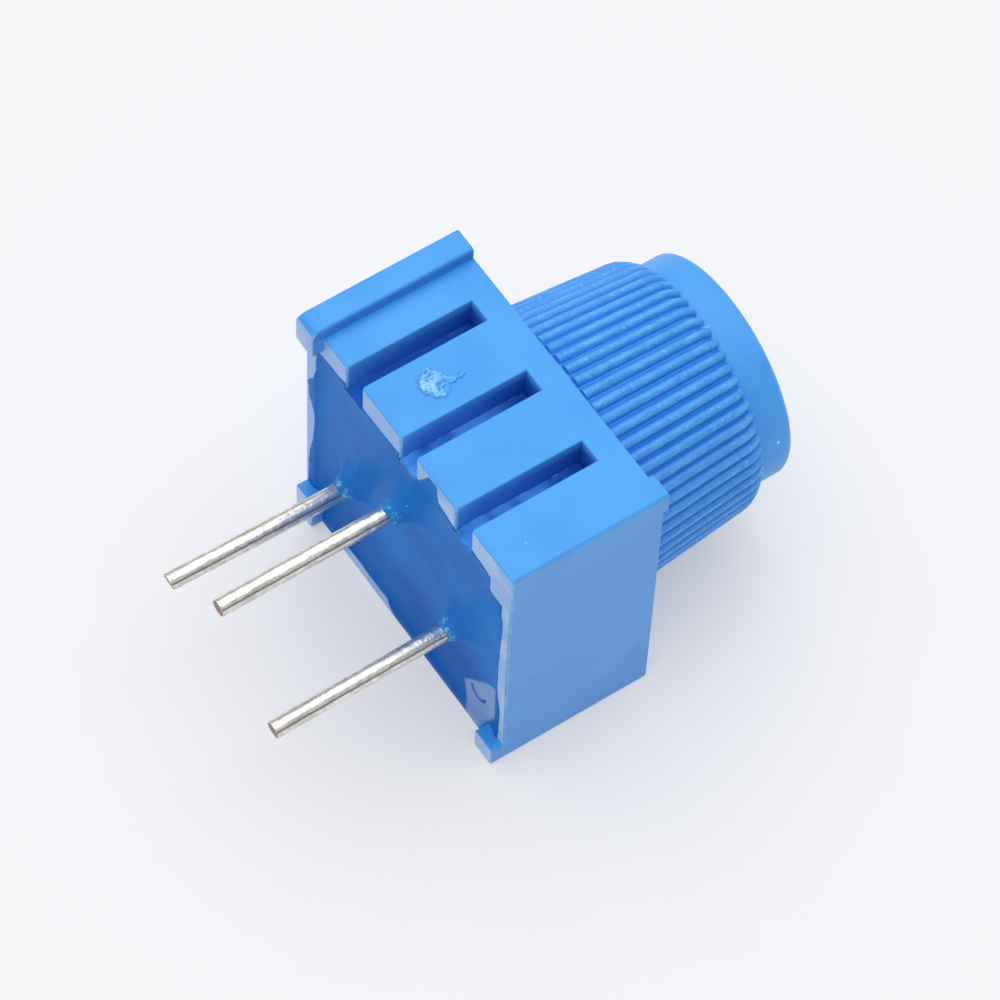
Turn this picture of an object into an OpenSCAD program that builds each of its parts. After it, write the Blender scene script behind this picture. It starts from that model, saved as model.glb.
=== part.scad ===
// Square single-turn trimmer potentiometer with a fluted thumb knob.
// It lies on its plain side: +X to the plain side wall, +Y along the shaft to the knob, +Z up out of
// the slotted face. The origin is under the middle of the whole part, on the surface it lies on.

/* [Housing] */
// Side of the square housing, seen along the shaft
housing_w = 9.53; // [9:0.01:11]
// Depth of the housing from its rear rim to its front face
housing_d = 4.66; // [4.5:0.01:5.5]
// Rounding of the edges that run along the shaft
edge_r = 0.12; // [0.05:0.01:0.2]
// Thickness of the plain side walls at the rear rim
side_wall = 0.42; // [0.3:0.01:0.6]
// Thickness of the slotted wall, which is also the depth of its slots
slotted_wall = 1.05; // [0.8:0.01:1.2]
// Thickness of the front wall that carries the shaft
front_wall = 1.2; // [1:0.01:1.4]
// Depth of the square pocket behind the rotor chamber
pocket_d = 1.75; // [1.6:0.01:1.9]
// Radius of the round rotor chamber
chamber_r = 2.95; // [2.9:0.01:3.1]

/* [Rib, slots and feet] */
// Width of the locating rib along one edge of the slotted face
rib_w = 0.8; // [0.5:0.01:1]
// Height of the locating rib above the slotted face
rib_h = 0.4; // [0.25:0.01:0.6]
// Width of each slot
slot_w = 0.7; // [0.5:0.01:0.9]
// Length of each slot from the rear rim
slot_l = 3.86; // [3:0.01:4]
// Distance between slots
slot_pitch = 2.54; // [2.3:0.01:2.7]
// How far the standoff feet stand out of the rear rim
foot_l = 0.36; // [0.2:0.01:0.6]
// Width of the feet across the housing
foot_w = 0.8; // [0.6:0.01:1]
// Height of the foot at the end of the rib
rib_foot_h = 1.06; // [0.8:0.01:1.4]
// Height of the lower foot on the rib's side
left_foot_h = 1.23; // [0.8:0.01:1.6]
// Height of the lower foot on the plain side
right_foot_h = 0.75; // [0.6:0.01:1.2]
// Width of the post in the corner without a foot
post_w = 0.98; // [0.8:0.01:1.2]
// Height of the post in the corner without a foot
post_h = 1.7; // [1.2:0.01:2.2]
// How far the corner pad stands out of the front face
pad_l = 0.18; // [0.1:0.01:0.3]
// Width and height of the corner pad
pad_w = 0.8; // [0.5:0.01:1]

/* [Terminals] */
// Diameter of the tinned terminal wire
lead_d = 0.51; // [0.4:0.01:0.6]
// Free length of the terminals beyond the feet
lead_l = 5.44; // [3:0.01:8]
// Grid pitch of the terminals
lead_pitch = 2.54; // [2.3:0.01:2.7]
// How far the two outer terminals lie below the shaft axis
lead_drop = 0.84; // [0.5:0.01:1.2]
// Diameter of the swaged collar inside the potting
collar_d = 0.84; // [0.82:0.01:0.9]
// How far the collar reaches up into the potting's fillet
collar_rise = 0.1; // [0.05:0.01:0.12]
// Diameter of the flat head that is bonded to the substrate
head_d = 1; // [0.9:0.01:1.2]
// Thickness of the flat head
head_t = 0.15; // [0.1:0.01:0.25]

/* [Potting] */
// How far the potting lies below the rear rim
potting_sink = 0.12; // [0.05:0.01:0.2]
// Radius of the potting's fillet round each terminal
meniscus_r = 0.55; // [0.3:0.01:0.65]
// Thickness of the potting at the fillet's upper lip
meniscus_lip = 0.03; // [0.02:0.01:0.05]
// How far the potting has crept up into the mouth of each slot
wick_h = 0.45; // [0.2:0.01:0.6]

/* [Element] */
// Gap between the ceramic substrate and each side wall
substrate_side_gap = 0.445; // [0.4:0.005:0.7]
// Thickness of the ceramic substrate
substrate_t = 0.8; // [0.6:0.01:0.9]
// Gap between the ceramic substrate and the slotted and lower walls
substrate_gap = 0.1; // [0.05:0.01:0.3]
// Thickness of the printed films
film_t = 0.03; // [0.02:0.01:0.04]
// Radius at the middle of the resistive track
track_r = 2.3; // [2.25:0.01:2.35]
// Width of the resistive track
track_w = 0.65; // [0.5:0.01:0.8]
// Angle that the resistive track covers
track_angle = 280; // [260:1:290]
// Angle of each conductor pad at the ends of the track
pad_angle = 13; // [8:1:15]
// Radius of the collector at the middle of the substrate
collector_r = 0.9; // [0.7:0.01:1.1]
// Width of the conductor strips on the rear of the substrate
strip_w = 0.84; // [0.82:0.01:0.9]
// Diameter of the filled holes that join the two faces
via_d = 0.4; // [0.3:0.01:0.5]

/* [Rotor] */
// Radius of the rotor's flange
flange_r = 2.3; // [2.25:0.01:2.4]
// Room for the wiper between the substrate and the rotor's flange
wiper_room = 0.61; // [0.55:0.01:0.7]
// Radius of the journal that turns in the front wall
journal_r = 1.5; // [1.4:0.01:1.6]
// Radius of the drive stem inside the knob
stem_r = 1.3; // [1.2:0.01:1.35]
// Distance across the two flats of the drive stem
stem_flats = 1.9; // [1.6:0.01:2.1]
// Angle of the stop lug on the flange, and of the stop in the chamber
stop_angle = 24; // [20:1:26]
// Gap between the rotor's flange and the stop in the chamber
stop_gap = 0.2; // [0.15:0.01:0.25]
// Gap between the stop lug and the chamber wall
lug_gap = 0.1; // [0.05:0.01:0.15]
// Running clearance of the journal
running_gap = 0.05; // [0.03:0.01:0.08]
// End float of the rotor in its chamber
end_float = 0.1; // [0.05:0.01:0.15]

/* [Seal and wiper] */
// Thickness of the seal ring
seal_d = 0.58; // [0.5:0.01:0.62]
// Clearance round the seal ring in its seat
seal_gap = 0.02; // [0.02:0.01:0.04]
// Thickness of the wiper's spring sheet
wiper_t = 0.1; // [0.08:0.01:0.12]
// Radius of the wiper's round plate
plate_r = 1.75; // [1.7:0.01:1.8]
// Width of each wiper finger
finger_w = 0.26; // [0.2:0.01:0.3]
// Space between the fingers
finger_gap = 0.1; // [0.08:0.01:0.15]
// How far inside the plate's edge the outer fingers start
finger_lap = 0.4; // [0.3:0.01:0.5]
// How far outside the plate's hole the inner fingers start
inner_finger_lap = 0.2; // [0.15:0.01:0.3]
// Radius of the contact bead at each finger's end
bead_r = 0.12; // [0.1:0.01:0.14]
// Radius at which the inner fingers touch the collector
inner_contact_r = 0.45; // [0.4:0.01:0.55]
// Gap between a contact bead and its film
contact_gap = 0.02; // [0.01:0.01:0.03]

/* [Knob] */
// Length of the knob along the shaft
knob_l = 5.31; // [5.2:0.01:6]
// Gap between the knob and the front face of the housing
knob_gap = 0.12; // [0.1:0.01:0.3]
// Diameter of the fluted skirt at its open end, over the ridges
skirt_d = 8.18; // [7.9:0.01:8.6]
// Slope of the skirt's side towards the shaft, in degrees
skirt_taper = 5.1; // [4:0.1:6]
// Length of the skirt from its open end to the start of its shoulder
skirt_l = 3.56; // [3.4:0.01:3.7]
// Radius of the rounded shoulder between the skirt and the cap
shoulder_r = 0.7; // [0.65:0.01:0.8]
// Diameter of the smooth cap
cap_d = 6.62; // [6.5:0.01:6.8]
// Rounding of the cap's edge
cap_edge_r = 0.2; // [0.1:0.01:0.3]
// Number of ridges round the skirt
ridge_count = 60; // [40:1:60]
// Height of the ridges
ridge_h = 0.14; // [0.1:0.01:0.16]
// Length of the ridges, to the middle of their round ends
ridge_l = 3.75; // [3.4:0.01:3.8]
// How far from the skirt's open end the ridges start
ridge_inset = 0.08; // [0.05:0.01:0.2]
// Radius of the ridges' rounded crests
crest_r = 0.14; // [0.12:0.005:0.17]
// Thickness of the skirt's wall at the foot of the ridges
skirt_wall = 0.85; // [0.7:0.01:1]
// Thickness of the cap's end wall
cap_wall = 0.95; // [0.9:0.01:1.1]
// Radius of the hub that grips the drive stem
hub_r = 2.05; // [1.9:0.01:2.15]
// Width of the driver slot in the cap
driver_slot_w = 0.8; // [0.6:0.01:1]
// Length of the driver slot
driver_slot_l = 4.4; // [4:0.01:5]
// Depth of the driver slot
driver_slot_d = 0.5; // [0.3:0.01:0.6]

/* [Hidden] */
$fn = 64;
ridge_fn = 24;
// How far a cut runs past the face it opens, and how deep joined pieces reach into each other
overrun = 0.1;
// Clearance between pieces that are assembled and then stay still
fit_gap = 0.01;
// How far the slots reach below the roof of the pocket
slot_reach = 0.05;

// Places along the shaft from the rear rim
substrate_y = pocket_d - substrate_t;
film_y = pocket_d + film_t;
head_y = substrate_y - film_t - head_t;
post_end = substrate_y - fit_gap;
collar_y = potting_sink - collar_rise;
chamber_end = housing_d - front_wall;
flange_end = chamber_end - end_float;
flange_y = pocket_d + wiper_room;
plate_y = flange_y - wiper_t;
contact_y = film_y + contact_gap + bead_r;
seal_seat_d = seal_d + seal_gap;
knob_y = housing_d + knob_gap;
shoulder_y = knob_y + skirt_l;
knob_end = knob_y + knob_l;
hollow_end = knob_end - cap_wall;
stem_end = hollow_end - cap_edge_r;

// Places across the shaft from its axis
half_w = housing_w / 2;
face_z = half_w - rib_h;
roof_z = face_z - slotted_wall;
pocket_half_w = half_w - side_wall;
slot_floor_z = roof_z - slot_reach;
bore_r = journal_r + running_gap;
seal_seat_r = journal_r + seal_gap + seal_d + seal_gap;
lug_r = chamber_r - lug_gap;
stop_r = flange_r + stop_gap;
substrate_half_w = pocket_half_w - substrate_side_gap;
substrate_low_z = substrate_gap - pocket_half_w;
substrate_high_z = roof_z - substrate_gap;
lead_r = lead_d / 2;
lead_z = [-lead_drop, lead_pitch - lead_drop, -lead_drop];

// Angles of the stop and the track, counted from the plain side wall up towards the slotted face
up = 90;
down = 270;
track_start = up - track_angle / 2;
track_end = up + track_angle / 2;
ridge_step = 360 / ridge_count;

// The knob's radii at the start of its shoulder, over the ridges and between them
shoulder_crest_r = skirt_d / 2 - skirt_l * tan(skirt_taper);
valley_r = skirt_d / 2 - ridge_h;
shoulder_valley_r = shoulder_crest_r - ridge_h;
shoulder_axis_r = shoulder_valley_r - shoulder_r;
hollow_r = valley_r - skirt_wall;
hollow_cap_r = cap_d / 2 - skirt_wall;

// The whole part, from the terminals' ends to the knob's end
overall_l = lead_l + foot_l + knob_end;
rim_y = lead_l + foot_l - overall_l / 2;

// Moves to the shaft axis at the plane of the rear rim
module on_shaft() {
    translate([0, rim_y, half_w]) children();
}

// Extrudes an outline drawn in X and Z from one place along the shaft to another
module along_shaft(y0, y1) {
    translate([0, y1, 0]) rotate([90, 0, 0]) linear_extrude(y1 - y0) children();
}

// Spins a profile drawn in radius and place along the shaft
module spun() {
    rotate([-90, 0, 0]) rotate_extrude() children();
}

// A round bar along the shaft
module bar(r, y0, y1) {
    translate([0, y0, 0]) rotate([-90, 0, 0]) cylinder(r = r, h = y1 - y0);
}

// A box between two corners
module box(low, high) {
    translate(low) cube(high - low);
}

// A rectangle with rounded corners
module rounded_rectangle(low, high, r) {
    size = high - low;
    translate(low + [r, 0]) square(size - [2 * r, 0]);
    translate(low + [0, r]) square(size - [0, 2 * r]);
    for (x = [low[0] + r, high[0] - r], z = [low[1] + r, high[1] - r]) {
        translate([x, z]) circle(r);
    }
}

// A pie slice that reaches past the radius r, between two angles less than half a turn apart
module slice(r, a0, a1) {
    reach = r / cos((a1 - a0) / 4);
    middle = (a0 + a1) / 2;
    polygon([[0, 0], for (a = [a0, middle, a1]) reach * [cos(a), sin(a)]]);
}

// A stretch of a flat ring
module ring_stretch(r0, r1, a0, a1) {
    steps = ceil((a1 - a0) / 90);
    step = (a1 - a0) / steps;
    intersection() {
        difference() {
            circle(r1);
            circle(r0);
        }
        union() {
            for (i = [0 : steps - 1]) {
                slice(r1, a0 + i * step, a0 + (i + 1) * step);
            }
        }
    }
}

// Housing

module housing_outline() {
    rounded_rectangle([-half_w, -half_w], [half_w, face_z], edge_r);
    rounded_rectangle([-half_w, face_z - rib_w], [rib_w - half_w, half_w], edge_r);
}

module foot_outlines() {
    rounded_rectangle([-half_w, half_w - rib_foot_h], [foot_w - half_w, half_w], edge_r);
    rounded_rectangle([-half_w, -half_w], [foot_w - half_w, left_foot_h - half_w], edge_r);
    rounded_rectangle([half_w - foot_w, -half_w], [half_w, right_foot_h - half_w], edge_r);
}

// A post in the fourth corner, flush with the rear rim
module post_outline() {
    rounded_rectangle([half_w - post_w, face_z - post_h], [half_w, face_z], edge_r);
}

module corner_pad() {
    along_shaft(housing_d - overrun, housing_d + pad_l) {
        rounded_rectangle([half_w - pad_w, face_z - pad_w], [half_w, face_z], edge_r);
    }
}

// The slots are open at the rear rim, and open into the pocket that the potting fills
module slots() {
    for (i = [-1 : 1]) {
        box(
            [i * slot_pitch - slot_w / 2, -overrun, slot_floor_z],
            [i * slot_pitch + slot_w / 2, slot_l, face_z + overrun]
        );
    }
}

module pocket() {
    box([-pocket_half_w, -overrun, -pocket_half_w], [pocket_half_w, pocket_d, roof_z]);
}

// A stop on the chamber's wall, which ends the turn of the rotor's lug
module chamber_stop() {
    along_shaft(pocket_d + film_t, chamber_end + overrun) {
        ring_stretch(stop_r, chamber_r + overrun, down - stop_angle / 2, down + stop_angle / 2);
    }
}

module housing() {
    color("dodgerblue") on_shaft() {
        difference() {
            union() {
                along_shaft(0, housing_d) housing_outline();
                corner_pad();
            }
            slots();
            pocket();
            bar(chamber_r, pocket_d - overrun, chamber_end);
            bar(seal_seat_r, chamber_end - overrun, chamber_end + seal_seat_d);
            bar(bore_r, chamber_end, housing_d + overrun);
        }
        along_shaft(-foot_l, pocket_d) {
            intersection() {
                foot_outlines();
                housing_outline();
            }
        }
        along_shaft(0, post_end) post_outline();
        chamber_stop();
    }
}

// Element

module substrate() {
    color("linen") on_shaft() {
        difference() {
            box(
                [-substrate_half_w, substrate_y, substrate_low_z],
                [substrate_half_w, pocket_d, substrate_high_z]
            );
            vias(via_d / 2 + fit_gap, substrate_y - overrun, pocket_d + overrun);
        }
    }
}

module resistive_track() {
    color("dimgray") on_shaft() along_shaft(pocket_d, film_y) {
        ring_stretch(track_r - track_w / 2, track_r + track_w / 2, track_start, track_end);
    }
}

// Where each conductor passes through the substrate: at the track's ends and at the collector
function via_places() = [
    track_r * [cos(track_end + pad_angle / 2), sin(track_end + pad_angle / 2)],
    [0, 0],
    track_r * [cos(track_start - pad_angle / 2), sin(track_start - pad_angle / 2)]
];

function lead_place(i) = [(i - 1) * lead_pitch, lead_z[i]];

module vias(r, y0, y1) {
    for (place = via_places()) {
        translate([place[0], 0, place[1]]) bar(r, y0, y1);
    }
}

// A flat strip with round ends, from one place to another
module strip(a, b) {
    run = b - a;
    translate(a) rotate(atan2(run[1], run[0])) translate([0, -strip_w / 2]) {
        square([norm(run), strip_w]);
    }
    translate(a) circle(strip_w / 2);
    translate(b) circle(strip_w / 2);
}

// Three silver conductors: a film on the front, a filled hole, and a strip to a terminal's head
module conductors() {
    color("silver") on_shaft() {
        vias(via_d / 2, substrate_y - film_t / 2, pocket_d + film_t / 2);
        along_shaft(pocket_d, film_y) {
            circle(collector_r);
            ring_stretch(track_r - track_w / 2, track_r + track_w / 2, track_end, track_end + pad_angle);
            ring_stretch(track_r - track_w / 2, track_r + track_w / 2, track_start - pad_angle, track_start);
        }
        along_shaft(substrate_y - film_t, substrate_y) {
            for (i = [0 : 2]) {
                strip(via_places()[i], lead_place(i));
            }
        }
    }
}

// Terminals

module terminal(i) {
    place = lead_place(i);
    color("gainsboro") on_shaft() translate([place[0], 0, place[1]]) {
        bar(lead_r, -foot_l - lead_l, head_y);
        bar(collar_d / 2, collar_y, head_y);
        bar(head_d / 2, head_y, head_y + head_t);
    }
}

module terminal_1() {
    terminal(0);
}

module terminal_2() {
    terminal(1);
}

module terminal_3() {
    terminal(2);
}

// Potting

// The hollow fillet that the resin draws up round a terminal
module meniscus() {
    outer_r = lead_r + meniscus_lip + meniscus_r;
    spun() {
        difference() {
            translate([0, potting_sink - meniscus_r]) square([outer_r, meniscus_r + overrun]);
            translate([outer_r, potting_sink - meniscus_r]) circle(meniscus_r);
        }
    }
}

// Resin that has crept up the mouth of a slot, with a hollow surface
module wick() {
    intersection() {
        difference() {
            box(
                [-slot_w / 2, potting_sink, roof_z - overrun],
                [slot_w / 2, potting_sink + wick_h, roof_z + wick_h]
            );
            translate([0, potting_sink, roof_z + wick_h]) {
                rotate([0, 90, 0]) cylinder(r = wick_h, h = 2 * slot_w, center = true);
            }
        }
        box([-slot_w / 2, potting_sink, roof_z - overrun], [slot_w / 2, pocket_d, face_z]);
    }
}

module potting() {
    color("royalblue") difference() {
        on_shaft() {
            difference() {
                box([-pocket_half_w, potting_sink, -pocket_half_w], [pocket_half_w, pocket_d, roof_z]);
                along_shaft(0, pocket_d + overrun) foot_outlines();
                along_shaft(0, post_end) post_outline();
                box(
                    [-substrate_half_w, substrate_y, substrate_low_z],
                    [substrate_half_w, pocket_d + overrun, substrate_high_z]
                );
                bar(chamber_r, substrate_y, pocket_d + overrun);
            }
            for (i = [-1 : 1]) {
                translate([i * slot_pitch, 0, 0]) wick();
            }
            for (i = [0 : 2]) {
                translate([lead_place(i)[0], 0, lead_place(i)[1]]) meniscus();
            }
        }
        conductors();
        terminal_1();
        terminal_2();
        terminal_3();
    }
}

// Turning parts

module stem(r, flats, y0, y1) {
    intersection() {
        bar(r, y0, y1);
        box([-flats / 2, y0, -r], [flats / 2, y1, r]);
    }
}

module rotor() {
    color("ivory") on_shaft() {
        bar(flange_r, flange_y, flange_end);
        along_shaft(flange_y, flange_end) {
            ring_stretch(flange_r - overrun, lug_r, up - stop_angle / 2, up + stop_angle / 2);
        }
        bar(journal_r, flange_end - overrun, knob_y - fit_gap);
        stem(stem_r, stem_flats, knob_y - overrun, stem_end);
    }
}

// A wiper finger: a sloping strip from the plate to a bead that touches a film
module finger(root_r, tip_r) {
    translate([-finger_w / 2, 0, 0]) rotate([90, 0, 90]) linear_extrude(finger_w) {
        polygon([
            [plate_y, root_r],
            [plate_y + wiper_t, root_r],
            [contact_y + wiper_t / 2, tip_r],
            [contact_y - wiper_t / 2, tip_r]
        ]);
        translate([contact_y, tip_r]) circle(bead_r);
    }
}

module wiper() {
    finger_step = finger_w + finger_gap;
    color("goldenrod") on_shaft() {
        along_shaft(plate_y, flange_y) {
            difference() {
                circle(plate_r);
                circle(collector_r);
            }
        }
        for (i = [-1 : 1]) {
            translate([i * finger_step, 0, 0]) finger(plate_r - finger_lap, track_r);
        }
        for (i = [-0.5, 0.5]) {
            translate([i * finger_step, 0, 0]) finger(collector_r + inner_finger_lap, inner_contact_r);
        }
    }
}

module seal_ring() {
    color("firebrick") on_shaft() spun() {
        translate([journal_r + seal_gap + seal_d / 2, chamber_end + seal_d / 2]) circle(seal_d / 2);
    }
}

// Knob

// The knob between its ridges: skirt, hollow of the shoulder and smooth cap
module knob_core() {
    polygon([[0, knob_y], [valley_r, knob_y], [shoulder_valley_r, shoulder_y], [0, shoulder_y]]);
    square_to(cap_d / 2, shoulder_y - overrun, knob_end - cap_edge_r);
    square_to(cap_d / 2 - cap_edge_r, shoulder_y, knob_end);
    translate([cap_d / 2 - cap_edge_r, knob_end - cap_edge_r]) circle(cap_edge_r);
    translate([shoulder_axis_r, shoulder_y]) circle(shoulder_r);
}

// A profile from the axis out to a radius
module square_to(r, y0, y1) {
    translate([0, y0]) square([r, y1 - y0]);
}

// A ridge: a round bar with a round end, half of it sunk in the skirt
module ridge() {
    cylinder(r = crest_r, h = ridge_l, $fn = ridge_fn);
    translate([0, 0, ridge_l]) sphere(r = crest_r, $fn = ridge_fn);
}

// The ridges lean in with the skirt's side
module ridges() {
    crest_axis_r = skirt_d / 2 - crest_r / cos(skirt_taper);
    rotate([-90, 0, 0]) translate([0, 0, knob_y]) {
        for (i = [0 : ridge_count - 1]) {
            rotate(i * ridge_step) translate([crest_axis_r, 0, 0]) rotate([0, -skirt_taper, 0]) {
                translate([0, 0, ridge_inset]) ridge();
            }
        }
    }
}

// The hollow between the hub and the skirt, open to the housing
module knob_hollow() {
    difference() {
        union() {
            polygon([
                [0, knob_y - overrun],
                [hollow_r, knob_y - overrun],
                [hollow_cap_r, shoulder_y],
                [0, shoulder_y]
            ]);
            square_to(hollow_cap_r, shoulder_y - overrun, hollow_end);
        }
        square_to(hub_r, knob_y - 2 * overrun, knob_end);
    }
}

module knob() {
    color("dodgerblue") on_shaft() {
        difference() {
            union() {
                spun() knob_core();
                ridges();
            }
            spun() knob_hollow();
            stem(stem_r + fit_gap, stem_flats + 2 * fit_gap, knob_y - overrun, stem_end + fit_gap);
            box(
                [-driver_slot_w / 2, knob_end - driver_slot_d, -driver_slot_l / 2],
                [driver_slot_w / 2, knob_end + overrun, driver_slot_l / 2]
            );
        }
    }
}

housing();
potting();
substrate();
resistive_track();
conductors();
terminal_1();
terminal_2();
terminal_3();
rotor();
wiper();
seal_ring();
knob();
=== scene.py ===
# %% [markdown]
# # A trimmer potentiometer with a thumb knob
#
# A trimmer is a small adjustable resistor: a square blue housing, three tinned wires cast into resin at
# the rear, and a fluted knob on the shaft. The construction is already made and packed. This lesson
# gives it its surfaces, one piece at a time, and never moves or resizes what was packed.

# %% Load the frame
import math

import bmesh
import bpy
import numpy as np
from mathutils import Matrix, Vector, noise


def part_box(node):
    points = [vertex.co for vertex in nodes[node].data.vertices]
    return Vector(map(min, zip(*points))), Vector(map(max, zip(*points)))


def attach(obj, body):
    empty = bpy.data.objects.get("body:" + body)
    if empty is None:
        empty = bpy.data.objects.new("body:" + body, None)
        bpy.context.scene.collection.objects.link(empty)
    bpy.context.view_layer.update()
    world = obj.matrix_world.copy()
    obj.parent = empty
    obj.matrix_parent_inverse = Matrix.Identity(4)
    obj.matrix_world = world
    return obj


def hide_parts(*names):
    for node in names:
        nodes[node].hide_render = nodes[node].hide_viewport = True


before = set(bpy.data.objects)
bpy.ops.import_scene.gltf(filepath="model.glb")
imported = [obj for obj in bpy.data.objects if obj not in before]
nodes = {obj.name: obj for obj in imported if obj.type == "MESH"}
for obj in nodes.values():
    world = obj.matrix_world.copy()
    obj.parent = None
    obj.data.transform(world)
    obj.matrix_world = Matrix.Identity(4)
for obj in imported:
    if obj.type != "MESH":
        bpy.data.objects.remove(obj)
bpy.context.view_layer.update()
print("packed nodes:", sorted(nodes))

# %% [markdown]
# ## Places
#
# On a part that is 16 mm long, metres are awkward to think in. Every place below is written in
# millimetres, counted from the shaft axis at the plane of the housing's rear rim: x towards the plain
# side wall, y towards the knob, z up out of the slotted face. One function turns such a place into the
# frame's metres, so a drawing on paper and the script use the same numbers.

# %% Places in millimetres from the shaft
MM = 0.001
FOOT_L = 0.36
RIB_H = 0.4
housing_low, housing_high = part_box("housing")
HALF_W = housing_high.x / MM
RIM_Y = housing_low.y / MM + FOOT_L
SHAFT_Z = housing_high.z / MM - HALF_W
FACE_Z = HALF_W - RIB_H
ORIGIN = np.array((0.0, RIM_Y, SHAFT_Z))


def place(x, y, z):
    """A place in millimetres from the shaft, as a point of the frame."""
    return Vector((x, y + RIM_Y, z + SHAFT_Z)) * MM


print(f"rear rim at y {RIM_Y:.3f} mm, shaft at z {SHAFT_Z:.3f} mm, slotted face {FACE_Z:.3f} mm above it")

# %% [markdown]
# ## Camera
#
# The photograph was taken with a long lens from high up behind one corner. The angles below come from
# matching the housing's corners, which are known in millimetres, to where they are in the picture. A
# long lens keeps parallel edges almost parallel, which is why the small part looks so calm.

# %% Camera at the photograph's place
PHOTO_LENS = 198.0
SENSOR_W = 36.0
PHOTO_ANGLES = (53.414, 58.544, 3.251)
CAMERA_PLACE = (60.94, -42.24, 123.26)
CLIP_NEAR, CLIP_FAR = 0.001, 10.0

azimuth, elevation, roll = (math.radians(angle) for angle in PHOTO_ANGLES)
back = Vector((
    math.sin(azimuth) * math.cos(elevation),
    -math.cos(azimuth) * math.cos(elevation),
    math.sin(elevation),
))
level = Vector((0, 0, 1)).cross(back).normalized()
upright = back.cross(level)
right = level * math.cos(roll) + upright * math.sin(roll)
above = upright * math.cos(roll) - level * math.sin(roll)

camera_data = bpy.data.cameras.new("photo_camera")
camera_data.lens = PHOTO_LENS
camera_data.sensor_width = SENSOR_W
camera_data.clip_start = CLIP_NEAR
camera_data.clip_end = CLIP_FAR
camera = bpy.data.objects.new("photo_camera", camera_data)
pose = Matrix((right, above, back)).transposed().to_4x4()
pose.translation = place(*CAMERA_PLACE)
camera.matrix_world = pose
bpy.context.scene.collection.objects.link(camera)
bpy.context.scene.camera = camera
bpy.context.scene.view_settings.view_transform = "Standard"
print("camera", round(camera.location.length / MM, 1), "mm from the origin")

# %% [markdown]
# ## Shader maths
#
# A finish is mostly arithmetic: a mask times a colour, one minus a mask, a distance over a width. Laid
# out node by node that arithmetic is hard to read. Here one small class wraps a socket and overloads
# the operators, so an expression in Python adds the Math nodes. The same class works in a shader and
# in a geometry tree, because both use the same Math node.


# %% A socket that does arithmetic
class Value:
    """A node's output that can be used in expressions."""

    def __init__(self, bench, socket):
        self.bench = bench
        self.socket = socket

    def math(self, operation, *operands):
        return self.bench.add("ShaderNodeMath", {"operation": operation}, dict(enumerate(operands)))

    def __add__(self, other):
        return self.math("ADD", self, other)

    def __sub__(self, other):
        return self.math("SUBTRACT", self, other)

    def __mul__(self, other):
        return self.math("MULTIPLY", self, other)

    def __truediv__(self, other):
        return self.math("DIVIDE", self, other)

    def __rsub__(self, other):
        return self.math("SUBTRACT", other, self)

    def __rtruediv__(self, other):
        return self.math("DIVIDE", other, self)

    __radd__ = __add__
    __rmul__ = __mul__

    def at_least(self, other):
        return self.math("MAXIMUM", self, other)

    def at_most(self, other):
        return self.math("MINIMUM", self, other)

    def run(self, operation):
        return self.math(operation, self)

    def step(self, low, high):
        """0 below low, 1 above high, and a smooth rise between them."""
        settings = {"interpolation_type": "SMOOTHSTEP"}
        return self.bench.add("ShaderNodeMapRange", settings, {0: self, 1: low, 2: high})

    def near(self, target, width):
        """1 at the target and 0 from width away."""
        return 1 - ((self - target).run("ABSOLUTE") / width).at_most(1)

    def out(self, name):
        """Another output of the same node."""
        return Value(self.bench, self.socket.node.outputs[name])


class Bench:
    """A node tree that nodes are added to."""

    def __init__(self, tree):
        self.tree = tree

    def add(self, kind, settings=None, sockets=None, out=0):
        """Adds a node: its settings first, then the values or links of its sockets."""
        made = self.tree.nodes.new(kind)
        for name, value in (settings or {}).items():
            if name == "stops":
                self.stops(made.color_ramp, value)
            else:
                setattr(made, name, value)
        self.feed(made, sockets or {})
        return Value(self, made.outputs[out]) if made.outputs else made

    def stops(self, ramp, stops):
        for stop in stops[len(ramp.elements):]:
            ramp.elements.new(stop[0])
        for element, (position, colour) in zip(ramp.elements, stops):
            element.position = position
            element.color = (*colour, 1)

    def feed(self, made, sockets):
        for name, value in sockets.items():
            if isinstance(value, Value):
                self.tree.links.new(value.socket, made.inputs[name])
            else:
                made.inputs[name].default_value = value

    def mix(self, mask, first, second):
        """One colour turning into another as the mask goes from 0 to 1."""
        first, second = (c if isinstance(c, Value) else (*c, 1) for c in (first, second))
        return self.add("ShaderNodeMix", {"data_type": "RGBA"}, {0: mask, 6: first, 7: second}, out=2)

    def noise(self, where, scale, detail=2.0, roughness=0.5):
        sockets = {"Vector": where, "Scale": scale, "Detail": detail, "Roughness": roughness}
        return self.add("ShaderNodeTexNoise", {"noise_dimensions": "3D"}, sockets)

    def attribute(self, name):
        """A number that was stored for each point of the mesh."""
        return self.add("ShaderNodeAttribute", {"attribute_name": name}, out="Fac")


def new_finish(name, **constants):
    """A material, its bench, its shader, and the place of a surface point in millimetres from the shaft."""
    material = bpy.data.materials.new(name)
    material.use_nodes = True
    bench = Bench(material.node_tree)
    shader = material.node_tree.nodes["Principled BSDF"]
    bench.feed(shader, {key.replace("_", " "): value for key, value in constants.items()})
    point = bench.add("ShaderNodeTexCoord", out="Object")
    scaled = bench.add("ShaderNodeVectorMath", {"operation": "SCALE"}, {0: point, "Scale": 1 / MM})
    spot = bench.add("ShaderNodeVectorMath", {"operation": "SUBTRACT"}, {0: scaled, 1: tuple(ORIGIN)})
    return material, bench, shader, spot


def split(bench, spot):
    """The x, y and z of a place."""
    x = bench.add("ShaderNodeSeparateXYZ", None, {0: spot})
    return x, x.out("Y"), x.out("Z")


def bump(bench, height, distance):
    """A Bump node for a height from 0 to 1 and the real size, in millimetres, of its relief."""
    sockets = {"Height": height, "Distance": distance * MM, "Strength": 1.0}
    return bench.add("ShaderNodeBump", None, sockets)


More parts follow.
